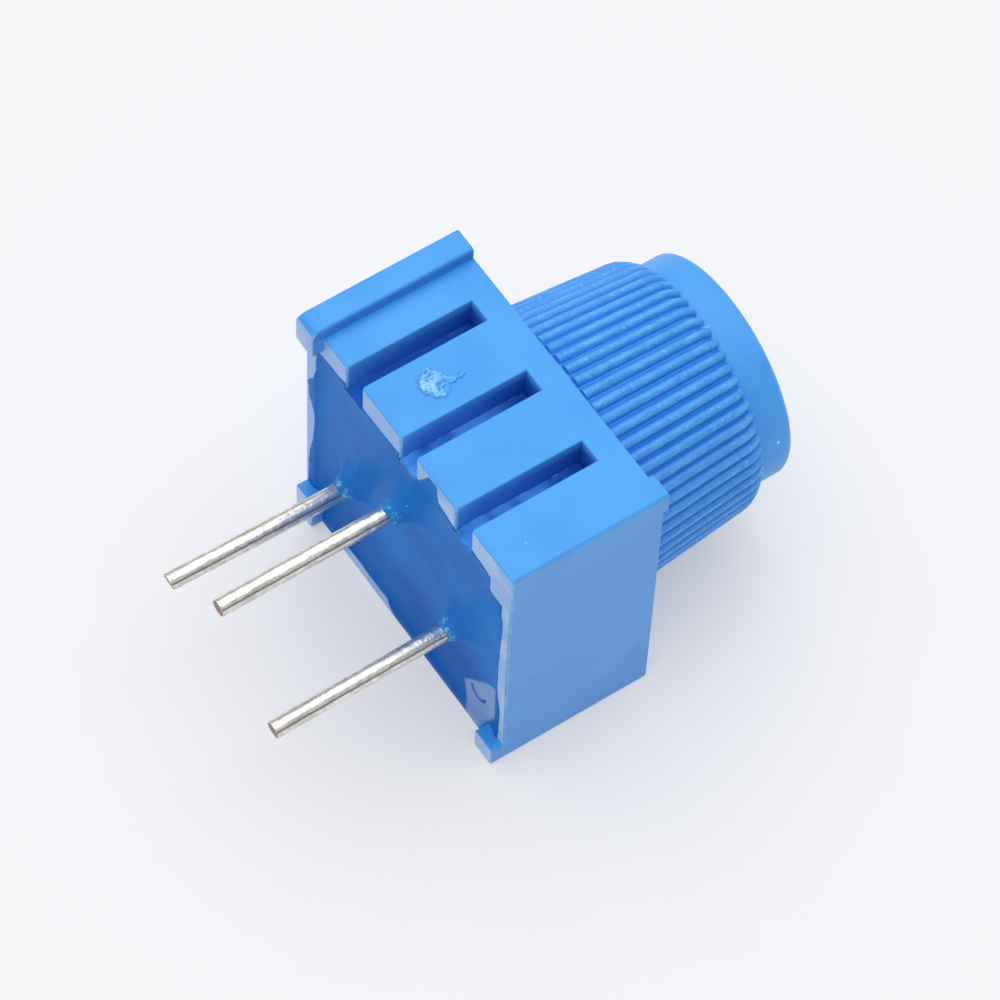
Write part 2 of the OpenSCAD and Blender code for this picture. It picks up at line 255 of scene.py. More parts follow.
print("shader bench ready")

# %% [markdown]
# ## Stage and light
#
# The part lies on white paper in a light tent: one wide, soft lamp above and pale cloth all round it, so
# the slotted face is bright and the walls get what the paper throws back. Only a narrow band above the
# horizon is dim. That band is the thin dark line that runs along a shiny wire, and a wire without it
# looks like chalk. The paper is photographed nearly white without more light on the part: a share of its
# surface glows, but only for rays that look at it, so it still takes the shadow.

# %% Floor
FLOOR_SIDE = 3.0
FLOOR_COLOUR = (0.86, 0.86, 0.875)
FLOOR_FIBRE = (0.88, 0.88, 0.89)
PAPER_GLOW, GLOW_LEVEL = 0.36, 0.97
floor_material, bench, shader, spot = new_finish("white_paper", Roughness=0.85, Specular_IOR_Level=0.1)
fibres = bench.noise(spot, 0.35, detail=3.0)
bench.feed(shader, {"Base Color": bench.mix(fibres, FLOOR_COLOUR, FLOOR_FIBRE)})
path = bench.add("ShaderNodeLightPath", out="Is Camera Ray")
looked_at = path.at_least(path.out("Is Glossy Ray")).at_least(path.out("Is Transmission Ray"))
glow = bench.add("ShaderNodeEmission", None, {"Strength": GLOW_LEVEL})
paper = Value(bench, shader.outputs[0])
lit_paper = bench.add("ShaderNodeMixShader", None, {0: looked_at * PAPER_GLOW, 1: paper, 2: glow})
bench.feed(floor_material.node_tree.nodes["Material Output"], {"Surface": lit_paper})

floor_mesh = bpy.data.meshes.new("floor")
half_floor = FLOOR_SIDE / 2
corners = [(x * half_floor, y * half_floor, 0) for x, y in ((-1, -1), (1, -1), (1, 1), (-1, 1))]
floor_mesh.from_pydata(corners, [], [(0, 1, 2, 3)])
floor_mesh.materials.append(floor_material)
floor = bpy.data.objects.new("floor", floor_mesh)
bpy.context.scene.collection.objects.link(floor)
print("floor", FLOOR_SIDE, "m square")

# %% Sky and lamp
world = bpy.data.worlds.new("studio")
world.use_nodes = True
bpy.context.scene.world = world
bench = Bench(world.node_tree)
direction = bench.add("ShaderNodeTexCoord", out="Generated")
_, _, height = split(bench, direction)
SKY_LOW = (0.92, 0.92, 0.93)
SKY_BAND = (0.22, 0.225, 0.235)
SKY_HIGH = (0.60, 0.605, 0.62)
SKY_STOPS = [(0.0, SKY_LOW), (0.05, SKY_LOW), (0.08, SKY_BAND), (0.22, SKY_BAND), (0.36, SKY_HIGH)]
sky = bench.add("ShaderNodeValToRGB", {"stops": SKY_STOPS}, {0: height})
bench.feed(world.node_tree.nodes["Background"], {"Color": sky})

LAMP_SIDE = 0.42
LAMP_HEIGHT = 0.26
LAMP_RADIANCE = 1.20
LAMP_SHIFT = (-0.10, 0.06)
lamp_data = bpy.data.lights.new("soft_box", "AREA")
lamp_data.shape = "SQUARE"
lamp_data.size = LAMP_SIDE
lamp_data.energy = LAMP_RADIANCE * math.pi * LAMP_SIDE ** 2
lamp = bpy.data.objects.new("soft_box", lamp_data)
lamp.location = (*LAMP_SHIFT, LAMP_HEIGHT)
bpy.context.scene.collection.objects.link(lamp)
print(f"lamp {lamp_data.energy:.2f} W")

# %% [markdown]
# ## Blue moulded plastic
#
# Housing and knob are moulded from the same filled plastic. It is satin, not glossy: the mould was eroded
# by sparks, which leaves a fine grain. The colour drifts a little where the melt flowed, and dust shows as
# pale specks. One function makes this ground, and each moulding then adds what is its own.

# %% Ground for both mouldings
DUST_PALE = (0.75, 0.83, 0.93)


def moulded_blue(name, plain, deep, grain_size, grain_height, roughness):
    """Satin blue with a drifting colour, a fine grain and a few specks of dust."""
    material, bench, shader, spot = new_finish(name, Specular_IOR_Level=0.5)
    drift = bench.noise(spot, 0.45, detail=3.0).step(0.35, 0.65)
    colour = bench.mix(drift, plain, deep)
    dust_cells = bench.add("ShaderNodeTexVoronoi", {"feature": "F1"}, {"Vector": spot, "Scale": 0.9})
    dust = 1 - dust_cells.step(0.012, 0.03)
    colour = bench.mix(dust * 0.35, colour, DUST_PALE)
    grain = bench.noise(spot, 1 / grain_size, detail=2.0)
    bench.feed(shader, {
        "Base Color": colour,
        "Roughness": roughness + (grain - 0.5) * 0.12,
        "Normal": bump(bench, grain, grain_height),
    })
    return material, bench, shader, spot, colour


print("ground for both mouldings ready")

# %% Housing finish
HOUSING_BLUE = (0.048, 0.365, 0.900)
HOUSING_DEEP = (0.036, 0.330, 0.860)
SHADE_BLUE = (0.012, 0.130, 0.560)
WALL_REFLECTION_GREY = (0.420, 0.500, 0.600)
RIM_BLUE = (0.340, 0.550, 0.960)
RUBBED_BLUE = (0.560, 0.740, 0.970)
CORNER_HIGHLIGHT_BLUE = (0.300, 0.620, 0.930)
SLOT_PITCH = 2.54
SLOT_W = 0.7
SLOT_END = 3.87
SLOT_REACH = 3.0
SHADE_NONE, SHADE_FULL, SHADE_FLOOR = 0.05, 0.45, 1.2
RIB_SHADE_END = (-3.9, -3.8)

housing_finish, bench, shader, spot, colour = moulded_blue(
    "housing_plastic", HOUSING_BLUE, HOUSING_DEEP, grain_size=0.06, grain_height=0.004, roughness=0.42
)
x, y, z = split(bench, spot)
facing = bench.add("ShaderNodeTexCoord", out="Normal")
facing_x, facing_y, facing_z = split(bench, facing)
facing_rear = 0 - facing_y
# Painted reflection: faces that don't look up are greyed, as if they mirrored the white paper and cloth.
colour = bench.mix((1 - facing_z.step(0.4, 0.9)) * 0.14, colour, WALL_REFLECTION_GREY)
# Painted shade: inside the slots the plastic darkens below the face, and more towards their far end.
slot_share = x / SLOT_PITCH
from_slot = (slot_share - slot_share.run("ROUND")).run("ABSOLUTE") * SLOT_PITCH
slot_shade = 1 - from_slot.step(SLOT_W / 2 + 0.01, SLOT_W / 2 + 0.04)
slot_shade = slot_shade * (1 - z.step(FACE_Z - SHADE_FULL, FACE_Z - SHADE_NONE))
slot_shade = slot_shade * z.step(FACE_Z - SHADE_FLOOR - 0.1, FACE_Z - SHADE_FLOOR)
slot_shade = slot_shade * (1 - x.run("ABSOLUTE").step(SLOT_REACH, SLOT_REACH + 0.1))
slot_shade = slot_shade * (1 - y.step(SLOT_END + 0.05, SLOT_END + 0.15))
colour = bench.mix(slot_shade * (0.45 + y.step(1.5, 3.8) * 0.4), colour, SHADE_BLUE)
# Painted shade on the side of the rib.
rib_side_shade = facing_x.step(0.5, 0.9) * z.step(FACE_Z - 0.1, FACE_Z + 0.05) * (1 - x.step(*RIB_SHADE_END))
colour = bench.mix(rib_side_shade * 0.5, colour, SHADE_BLUE)
ragged = bench.noise(spot, 2.6, detail=4.0)
on_rim = facing_rear.step(0.8, 0.95) * (1 - y.step(0.02, 0.05))
colour = bench.mix(on_rim * 0.85, colour, RIM_BLUE)
rubbed = bench.noise(spot, 0.7, detail=3.0).step(0.5, 0.62)
colour = bench.mix(on_rim * rubbed * 0.5, colour, RUBBED_BLUE)
# Painted highlight along the plain wall's rounded rear corner, broken into ragged streaks.
rear_corner_highlight = (facing_x * facing_rear).step(0.1, 0.4)
colour = bench.mix(rear_corner_highlight * (ragged.step(0.45, 0.6) * 0.4 + 0.3), colour, CORNER_HIGHLIGHT_BLUE)
bench.feed(shader, {"Base Color": colour})
print("finish", housing_finish.name)

# %% [markdown]
# ## Housing
#
# The housing is one moulding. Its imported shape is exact, but every edge is as sharp as a drawing, and a
# real edge is never sharp: the mould's corners are round and catch a thin line of light. Modelling each
# round by hand would take long, and a subdivision surface would soften the flat faces too. A Bevel
# modifier on a merged copy rounds only the edges that a weight marks, here those that turn outwards by
# more than an angle, and leaves the faces flat. A few edges are rounder: the slots' mouths, the end of the
# rib and the plain wall's rear corner. The last two meet fine outlines on which a wide bevel would fold
# over itself. So there the mesh is cut into rows, after the bevel, and each row is pushed in along a
# quarter of a circle.

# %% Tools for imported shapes
JOIN_GAP = 0.0005
FLAT_TURN = math.radians(1)


def merged_copy(node_name, piece_name):
    """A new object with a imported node's mesh, its loose triangles joined and its flat faces made whole."""
    mesh = nodes[node_name].data.copy()
    shape = bmesh.new()
    shape.from_mesh(mesh)
    bmesh.ops.remove_doubles(shape, verts=shape.verts, dist=JOIN_GAP * MM)
    bmesh.ops.dissolve_limit(shape, angle_limit=FLAT_TURN, verts=shape.verts, edges=shape.edges)
    shape.to_mesh(mesh)
    shape.free()
    piece = bpy.data.objects.new(piece_name, mesh)
    bpy.context.scene.collection.objects.link(piece)
    return piece


def settle(piece):
    """Turns an object's modifiers into a plain mesh."""
    graph = bpy.context.evaluated_depsgraph_get()
    mesh = bpy.data.meshes.new_from_object(piece.evaluated_get(graph), depsgraph=graph)
    piece.modifiers.clear()
    piece.data = mesh
    mesh.name = piece.name
    return mesh


def finish_piece(piece, material, body, slot, *replaced):
    """Gives a piece its finish, or leaves the one it has if none is named, and its place on a body."""
    if material:
        piece.data.materials.clear()
        piece.data.materials.append(material)
    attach(piece, body)
    if replaced:
        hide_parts(*replaced)
    print(f"{piece.name}: {len(piece.data.vertices)} points, {len(piece.data.polygons)} faces")


print("tools for packed shapes ready")

# %% Round the housing's edges
EDGE_ROUND, EDGE_STEPS = 0.05, 3
MOUTH_ROUND, MOUTH_STEPS, MOUTH_H = 0.10, 5, 0.5
SHARP_TURN = math.radians(40)
AT_EDGE = 0.01


def is_mouth(edge):
    """Whether an edge is an upright one at the mouth of a slot."""
    (x, y, z), (_, _, other_z) = (np.array(corner.co) / MM - ORIGIN for corner in edge.verts)
    return abs(z - other_z) > MOUTH_H and abs(y) < AT_EDGE and abs(x) < SLOT_PITCH + SLOT_W


housing = merged_copy("housing", "housing_moulding")
shape = bmesh.new()
shape.from_mesh(housing.data)
mouths = [edge for edge in shape.edges if is_mouth(edge)]
bmesh.ops.bevel(
    shape, geom=mouths, offset=MOUTH_ROUND * MM, offset_type="OFFSET", segments=MOUTH_STEPS, profile=0.5,
    affect="EDGES", clamp_overlap=True,
)
weight = shape.edges.layers.float.new("bevel_weight_edge")
for edge in shape.edges:
    edge[weight] = float(edge.calc_face_angle_signed(0) > SHARP_TURN)
shape.to_mesh(housing.data)
shape.free()
bevel = housing.modifiers.new("edge_round", "BEVEL")
bevel.width = EDGE_ROUND * MM
bevel.segments = EDGE_STEPS
bevel.limit_method = "WEIGHT"
bevel.use_clamp_overlap = False
settle(housing)
print(len(mouths), "edges at the slots' mouths rounded")

# %% Push in the rib's end and the plain wall's rear corner
NOSE_ROUND, NOSE_DEPTH = 0.30, 0.40
CORNER_ROUND, CORNER_DEPTH = 0.12, 0.25
ROW_SHARES = (0.0, 0.05, 0.17, 0.37, 0.63, 1.0)
ROW_GAP = 1e-4
RIB_W, FOOT_H = 0.8, 0.75
RIB_SIDE_X = RIB_W - HALF_W
FOOT_TOP_Z = FOOT_H - HALF_W


def cut_rows(shape, first_y, width):
    """Cuts the mesh across the shaft at a few places, closer together at the start."""
    for share in ROW_SHARES:
        everything = [*shape.verts, *shape.edges, *shape.faces]
        row = place(0, first_y + width * share, 0)
        bmesh.ops.bisect_plane(shape, geom=everything, dist=ROW_GAP * MM, plane_co=row, plane_no=(0, 1, 0))


def fall(distance, radius):
    """How far a round of a radius has fallen at a distance from its end."""
    left = max(radius - distance, 0)
    return radius - math.sqrt(radius * radius - left * left)


shape = bmesh.new()
shape.from_mesh(housing.data)
cut_rows(shape, -FOOT_L, NOSE_ROUND)
cut_rows(shape, 0, CORNER_ROUND)
for corner in shape.verts:
    x, y, z = np.array(corner.co) / MM - ORIGIN
    if x < RIB_SIDE_X + AT_EDGE and z > FACE_Z and y < 0:
        corner.co.z -= fall(y + FOOT_L, NOSE_ROUND) * (z - FACE_Z) / NOSE_DEPTH * MM
    if x > HALF_W - CORNER_DEPTH and y > -AT_EDGE and z > FOOT_TOP_Z + AT_EDGE:
        corner.co.x -= fall(max(y, 0), CORNER_ROUND) * (x - HALF_W + CORNER_DEPTH) / CORNER_DEPTH * MM
for edge in shape.edges:
    edge.smooth = edge.calc_face_angle_signed(0) > -SHARP_TURN
for face in shape.faces:
    face.smooth = True
shape.to_mesh(housing.data)
shape.free()
flat_faces = housing.modifiers.new("flat_faces", "WEIGHTED_NORMAL")
flat_faces.keep_sharp = True
settle(housing)
finish_piece(housing, housing_finish, "case", "housing_plastic", "housing")

# %% [markdown]
# ## A tree for turned pieces
#
# The knob and the wires are turned shapes: a profile goes round an axis. Blender's Screw modifier could
# spin them, but it can't raise ridges or let the surface wander. A Geometry Nodes tree can: it lays a grid
# with one row for each point of the profile, bends the grid round the shaft, and pushes each point away
# from the profile by the ridge that passes there, and by a little seeded noise. The push follows the
# profile's own outward direction, so a ridge bends over a shoulder with it. All sizes are named inputs in
# millimetres, so one tree makes the fluted knob and the wires.

# %% Build the tree
SEAM_GAP = 0.002
turned_tree = bpy.data.node_groups.new("turned_piece", "GeometryNodeTree")
TURNED_INPUTS = {
    "Profile": "NodeSocketGeometry",
    "Ridges": "NodeSocketInt",
    "Steps": "NodeSocketInt",
    "Ridge height": "NodeSocketFloat",
    "Ridge width": "NodeSocketFloat",
    "Ridge fullness": "NodeSocketFloat",
    "Lump share": "NodeSocketFloat",
    "Lump size": "NodeSocketFloat",
    "Seed": "NodeSocketFloat",
    "Finish": "NodeSocketMaterial",
}
for socket_name, socket_kind in TURNED_INPUTS.items():
    turned_tree.interface.new_socket(socket_name, in_out="INPUT", socket_type=socket_kind)
turned_tree.interface.new_socket("Piece", in_out="OUTPUT", socket_type="NodeSocketGeometry")

bench = Bench(turned_tree)
given = bench.add("NodeGroupInput")
ridges, steps = given.out("Ridges"), given.out("Steps")
profile = given.out("Profile")
stations = bench.add("GeometryNodeAttributeDomainSize", {"component": "MESH"}, {"Geometry": profile})
grid = bench.add("GeometryNodeMeshGrid", None, {
    "Size X": 1.0, "Size Y": 1.0, "Vertices X": ridges * steps + 1, "Vertices Y": stations,
})
position = bench.add("GeometryNodeInputPosition")
across, along, _ = split(bench, position)
turn_share = across + 0.5
station = ((along + 0.5) * (stations - 1)).run("ROUND")
VECTORS = {"data_type": "FLOAT_VECTOR"}
outward = bench.add("GeometryNodeInputNamedAttribute", VECTORS, {"Name": "outward"})


def at_station(what):
    """A vector of the profile, read at the row's own station."""
    sockets = {"Geometry": profile, "Value": what, "Index": station}
    return bench.add("GeometryNodeSampleIndex", {**VECTORS, "domain": "POINT"}, sockets)


radius, axial, fluted = split(bench, at_station(position))
out_radial, out_axial, _ = split(bench, at_station(outward))

phase = turn_share * ridges + 0.5
off_crest = (phase - phase.run("FLOOR") - 0.5) * 2 / given.out("Ridge width")
room = (1 - off_crest * off_crest).at_least(0)
swell = room.math("POWER", room, given.out("Ridge fullness"))
rise = swell * fluted * given.out("Ridge height")

angle = turn_share * math.tau
around, upward = angle.run("COSINE"), angle.run("SINE")
where = bench.add("ShaderNodeCombineXYZ", None, {0: around * radius, 1: axial, 2: upward * radius})
lump = bench.add("ShaderNodeTexNoise", {"noise_dimensions": "4D"}, {
    "Vector": where, "W": given.out("Seed"), "Scale": 1 / given.out("Lump size"), "Detail": 2.0,
})
reach = (radius + rise * out_radial) * (1 + (lump - 0.5) * given.out("Lump share"))
spun_place = bench.add("ShaderNodeCombineXYZ", None, {
    0: around * reach, 1: axial + rise * out_axial, 2: upward * reach,
})

stored = grid
for attribute_name, share in (("crest", swell * fluted), ("groove", (1 - swell) * fluted)):
    stored = bench.add("GeometryNodeStoreNamedAttribute", {"data_type": "FLOAT", "domain": "POINT"}, {
        "Geometry": stored, "Name": attribute_name, "Value": share,
    })
bent = bench.add("GeometryNodeSetPosition", None, {"Geometry": stored, "Position": spun_place})
closed = bench.add("GeometryNodeMergeByDistance", None, {"Geometry": bent, "Distance": SEAM_GAP})
smooth = bench.add("GeometryNodeSetShadeSmooth", None, {"Geometry": closed})
realized = bench.add("GeometryNodeRealizeInstances", None, {"Geometry": smooth})
dressed = bench.add("GeometryNodeSetMaterial", None, {"Geometry": realized, "Material": given.out("Finish")})
bench.add("NodeGroupOutput", None, {"Piece": dressed})
print("tree", turned_tree.name, "with", len(turned_tree.nodes), "nodes")


# %% Profiles and the turning of a piece
def line(start, end, count):
    """Profile points from start to end, without the end itself."""
    return [tuple(s + (e - s) * i / count for s, e in zip(start, end)) for i in range(count)]


def arc(centre, radius, start, end, count):
    """Profile points on a round, from one angle to another in degrees, both ends included."""
    angles = [math.radians(start + (end - start) * i / count) for i in range(count + 1)]
    return [(centre[0] + radius * math.cos(a), centre[1] + radius * math.sin(a)) for a in angles]


def turn_piece(name, profile, **inputs):
    """A turned piece, in millimetres from the shaft. A profile point is radius, place and ridge share."""
    mesh = bpy.data.meshes.new(name)
    points = [(*point, 0) if len(point) == 2 else point for point in profile]
    mesh.from_pydata(points, [(i, i + 1) for i in range(len(points) - 1)], [])
    run = np.gradient(np.array(points), axis=0)
    outward = np.stack([-run[:, 1], run[:, 0], np.zeros(len(points))], axis=-1)
    outward /= np.linalg.norm(outward, axis=1, keepdims=True)
    attribute = mesh.attributes.new("outward", "FLOAT_VECTOR", "POINT")
    attribute.data.foreach_set("vector", outward.astype(np.float32).ravel())
    piece = bpy.data.objects.new(name, mesh)
    bpy.context.scene.collection.objects.link(piece)
    modifier = piece.modifiers.new("turned", "NODES")
    modifier.node_group = turned_tree
    for item in turned_tree.interface.items_tree:
        key = item.name.replace(" ", "_")
        if item.in_out == "INPUT" and key in inputs:
            modifier[item.identifier] = inputs[key]
    mesh = settle(piece)
    shape = bmesh.new()
    shape.from_mesh(mesh)
    bmesh.ops.recalc_face_normals(shape, faces=shape.faces)
    shape.to_mesh(mesh)
    shape.free()
    return piece


def into_frame(piece, x=0.0, z=0.0):
    """Moves a mesh made in millimetres from its own axis to that axis in the frame."""
    piece.data.transform(Matrix.Translation(place(x, 0, z)) @ Matrix.Scale(MM, 4))
    piece.data.update()


print("turning tools ready")

# %% [markdown]
# ## Knob
#
# The knob is a moulded cap with sixty round ridges that lean in with its side, bend over the shoulder and
# end in round noses below the cap. Cutting sixty ridges with booleans is slow and leaves ragged triangles.
# In the tree above a ridge is only a formula: a rounded height over the distance from the nearest crest.
# The stations lie closer on the shoulder, where the noses end. How near a point is to a crest or a groove
# is kept as an attribute, so the finish can paint highlights on the crests and shade in the grooves.

# %% Knob finish
KNOB_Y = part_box("knob")[0].y / MM - RIM_Y
KNOB_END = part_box("knob")[1].y / MM - RIM_Y
KNOB_BLUE = (0.066, 0.370, 0.900)
KNOB_DEEP = (0.052, 0.335, 0.860)
RIDGED_BLUE = (0.036, 0.285, 0.785)
GROOVE_SHADE_BLUE = (0.008, 0.210, 0.740)
CREST_HIGHLIGHT_BLUE = (0.130, 0.470, 0.930)
GLINT_AND_NICK_BLUE = (0.240, 0.600, 0.960)
NICK_PLACE, NICK_SIZE = (0.53, 8.95, 3.35), (0.07, 0.22, 0.3)
SPECK_PLACE, SPECK_R, SPECK_PALE = (3.23, 9.60, 0.70), 0.06, (0.7, 0.8, 0.92)

knob_finish, bench, shader, spot, colour = moulded_blue(
    "knob_plastic", KNOB_BLUE, KNOB_DEEP, grain_size=0.08, grain_height=0.008, roughness=0.45
)
x, y, z = split(bench, spot)
crest = bench.attribute("crest")
groove = bench.attribute("groove")
colour = bench.mix((crest + groove) * 0.8, colour, RIDGED_BLUE)
# Painted shade in the grooves between the ridges.
colour = bench.mix(groove.step(0.35, 0.9) * 0.8, colour, GROOVE_SHADE_BLUE)
# Painted highlight on the crests of the ridges, in patches.
highlight_patches = bench.noise(spot, 1.6, detail=4.0).step(0.35, 0.7)
colour = bench.mix(crest.step(0.75, 1.0) * highlight_patches * 0.5, colour, CREST_HIGHLIGHT_BLUE)
# Painted glints: small pale specks of highlight on the crests. The same colour marks a real nick on the cap
# below.
crest_glints = bench.noise(spot, 11.0, detail=3.0, roughness=0.7).step(0.54, 0.68)
colour = bench.mix(crest_glints * crest.step(0.3, 0.8) * 0.45, colour, GLINT_AND_NICK_BLUE)
# Painted highlight along the cap's rounded end edge.
cap_edge_highlight = y.step(KNOB_END - 0.16, KNOB_END - 0.08) * (1 - y.step(KNOB_END - 0.02, KNOB_END))
colour = bench.mix(cap_edge_highlight * (highlight_patches * 0.4 + 0.15), colour, CREST_HIGHLIGHT_BLUE)
nick = x.near(NICK_PLACE[0], NICK_SIZE[0]) * y.near(NICK_PLACE[1], NICK_SIZE[1])
nick = nick * z.near(NICK_PLACE[2], NICK_SIZE[2])
colour = bench.mix(nick.step(0.1, 0.4) * 0.7, colour, GLINT_AND_NICK_BLUE)
from_speck = bench.add("ShaderNodeVectorMath", {"operation": "DISTANCE"}, {0: spot, 1: SPECK_PLACE}, "Value")
colour = bench.mix((1 - from_speck.step(SPECK_R * 0.5, SPECK_R)) * 0.8, colour, SPECK_PALE)
bench.feed(shader, {"Base Color": colour})
print("finish", knob_finish.name)

# %% Turn the knob
RIDGE_COUNT, RIDGE_H, RIDGE_W, RIDGE_FULLNESS = 60, 0.14, 0.76, 0.6
RIDGE_STEPS, CAP_STEPS, SHOULDER_STEPS, SKIRT_STEPS = 14, 6, 28, 24
SKIRT_R, SKIRT_LEAN = 4.09, math.tan(math.radians(5.1))
SHOULDER_Y, SHOULDER_R = KNOB_Y + 3.56, 0.7
CAP_R, CAP_ROUND, CAP_WALL, CAP_FLAT_R = 3.31, 0.2, 0.95, 1.5
NECK_STATIONS = (1.1, 0.75)
BRIM_IN, BRIM_UP, BRIM_END = 0.004, 0.02, 0.03
SKIRT_WALL, HUB_R, BORE_R, BORE_END = 0.85, 2.05, 1.31, 8.95
RIDGE_START, RIDGE_STOP = KNOB_Y + 0.08, 0.005
NOSE_FROM, NOSE_TO = 48.0, 57.0


def shoulder_share(angle):
    """How much of a ridge's height is left at an angle on the shoulder: first all, then a round nose."""
    past = min(max((angle - NOSE_FROM) / (NOSE_TO - NOSE_FROM), 0), 1)
    return math.sqrt(1 - past * past)


valley_r = SKIRT_R - RIDGE_H
shoulder_r = valley_r - (SHOULDER_Y - KNOB_Y) * SKIRT_LEAN
shoulder_axis = (shoulder_r - SHOULDER_R, SHOULDER_Y)
cap_angle = math.degrees(math.acos((CAP_R - shoulder_axis[0]) / SHOULDER_R))
start_r = valley_r - (RIDGE_START - KNOB_Y) * SKIRT_LEAN
hollow_r, hollow_cap_r, hollow_end = valley_r - SKIRT_WALL, CAP_R - SKIRT_WALL, KNOB_END - CAP_WALL

knob_profile = [(0, KNOB_END), (CAP_FLAT_R, KNOB_END)]
knob_profile += arc((CAP_R - CAP_ROUND, KNOB_END - CAP_ROUND), CAP_ROUND, 90, 0, CAP_STEPS)
knob_profile += [(CAP_R, SHOULDER_Y + up) for up in NECK_STATIONS]
for i, point in enumerate(arc(shoulder_axis, SHOULDER_R, cap_angle, 0, SHOULDER_STEPS)):
    knob_profile.append((*point, shoulder_share(cap_angle * (1 - i / SHOULDER_STEPS))))
skirt = line((shoulder_r, SHOULDER_Y), (start_r, RIDGE_START), SKIRT_STEPS)
knob_profile += [(*point, 1) for point in skirt[1:]]
knob_profile += [(start_r, RIDGE_START, 1), (start_r, RIDGE_START - RIDGE_STOP)]
knob_profile += [(valley_r - BRIM_IN, KNOB_Y + BRIM_UP), (valley_r - BRIM_END, KNOB_Y)]
knob_profile += [(hollow_r, KNOB_Y), (hollow_cap_r, SHOULDER_Y), (hollow_cap_r, hollow_end)]
knob_profile += [(HUB_R, hollow_end), (HUB_R, KNOB_Y), (BORE_R, KNOB_Y), (BORE_R, BORE_END), (0, BORE_END)]

knob = turn_piece(
    "knob_moulding", knob_profile, Ridges=RIDGE_COUNT, Steps=RIDGE_STEPS, Ridge_height=RIDGE_H,
    Ridge_width=RIDGE_W, Ridge_fullness=RIDGE_FULLNESS, Lump_share=0.008, Lump_size=0.5, Seed=3.0,
    Finish=knob_finish,
)
print(f"knob from {KNOB_Y:.2f} to {KNOB_END:.2f} mm, {len(knob_profile)} stations")

# %% Cut the driver slot
DRIVER_SLOT = (0.8, 0.5, 4.4)


def box_mesh(name, low, high):
    """A box between two corners."""
    shape = bmesh.new()
    bmesh.ops.create_cube(shape, size=1.0)
    for corner in shape.verts:
        corner.co = [l + (h - l) * (c + 0.5) for c, l, h in zip(corner.co, low, high)]
    mesh = bpy.data.meshes.new(name)
    shape.to_mesh(mesh)
    shape.free()
    return mesh


width, depth, length = DRIVER_SLOT
cutter = bpy.data.objects.new("driver_slot", box_mesh(
    "driver_slot", (-width / 2, KNOB_END - depth, -length / 2), (width / 2, KNOB_END + depth, length / 2)
))
bpy.context.scene.collection.objects.link(cutter)
cut = knob.modifiers.new("driver_slot", "BOOLEAN")
cut.operation = "DIFFERENCE"
cut.object = cutter
cut.solver = "MANIFOLD"
settle(knob)
bpy.data.objects.remove(cutter)
into_frame(knob)
knob.data.set_sharp_from_angle(angle=SHARP_TURN)
finish_piece(knob, knob_finish, "turning", "knob_plastic", "knob")

# %% [markdown]
# ## Tinned wires
#
# The terminals are copper wires dipped in tin. Dipped tin isn't an even coat: it runs, pits and dulls in
# patches, and the side cutter leaves a slanted end where the red copper shows. The same tree turns them,
# without ridges. Afterwards each wire is bent a little, as hands and packing do, and its end is slanted. A
# fine dark line along one side is a painted reflection of the dim band above the horizon, only a colour.

# %% Wire finish
TIN_BRIGHT = (0.880, 0.855, 0.795)
TIN_DULL = (0.600, 0.580, 0.535)
TIN_STAIN = (0.300, 0.260, 0.210)
TIN_BAND_REFLECTION = (0.200, 0.185, 0.160)
DARK_BAND_FACING = 0.79
RUN_SCALE = (3.0, 0.7, 3.0)
COPPER_CUT = (0.260, 0.130, 0.090)

wire_finish, bench, shader, spot = new_finish("tinned_wire", Specular_IOR_Level=0.5)
_, y, _ = split(bench, spot)
runs = bench.add("ShaderNodeMapping", None, {"Vector": spot, "Scale": RUN_SCALE})
tin = bench.noise(runs, 1.6, detail=4.0, roughness=0.6)
colour = bench.mix(tin.step(0.40, 0.75), TIN_BRIGHT, TIN_DULL)
stain = bench.noise(spot, 1.3, detail=3.0).step(0.56, 0.72) * y.step(-2.2, -0.4)
colour = bench.mix(stain * 0.6, colour, TIN_STAIN)
cut_end = bench.attribute("cut_end")
colour = bench.mix(cut_end * 0.9, colour, COPPER_CUT)
pits = bench.noise(spot, 5.5, detail=3.0, roughness=0.6)
colour = bench.mix(pits.step(0.46, 0.60) * (1 - cut_end) * 0.7, colour, TIN_DULL)
facing = bench.add("ShaderNodeTexCoord", out="Normal")
facing_x, _, facing_z = split(bench, facing)
# Painted reflection: a thin dark line where the wire's surface faces one way, standing in for the dim band
# above the horizon.
from_dark_line = (facing_x + (pits - 0.5) * 0.12 - DARK_BAND_FACING).run("ABSOLUTE")
crease = (1 - from_dark_line.step(0.02, 0.09)) * facing_z.step(0.0, 0.3) * (1 - cut_end)
colour = bench.mix(crease * 0.75, colour, TIN_BAND_REFLECTION)
bench.feed(shader, {
    "Base Color": colour,
    "Metallic": 1 - cut_end * 0.5,
    "Roughness": 0.24 + tin * 0.14 + cut_end * 0.2,
    "Normal": bump(bench, pits, 0.014),
})
print("finish", wire_finish.name)

# %% Turn, bend and cut the wires
WIRE_R, WIRE_TIP = 0.255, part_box("terminal_1")[0].y / MM - RIM_Y
COLLAR_R, COLLAR_Y, HEAD_R, HEAD_Y = 0.42, 0.02, 0.5, 0.77
HEAD_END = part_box("terminal_1")[1].y / MM - RIM_Y
TIP_ROUND, TIP_REACH, CUT_DEPTH = 0.04, 0.4, 0.01
WIRE_STEPS, WIRE_SIDES, BEND_CURVE = 80, 40, 1.5
WIRE_SHARP = math.radians(45)
PIN_PITCH = 2.54
PIN_Z = (-0.84, 1.70, -0.84)
PIN_BEND = ((0.0, 0.16), (0.0, -0.05), (0.02, -0.06))
PIN_SLANT = (-0.25, -0.06, -0.10)


def paint(mesh, name, values):
    """Stores one number for each point, for a finish to read."""
    attribute = mesh.attributes.new(name, "FLOAT", "POINT")
    attribute.data.foreach_set("value", np.asarray(values, dtype=np.float32).ravel())


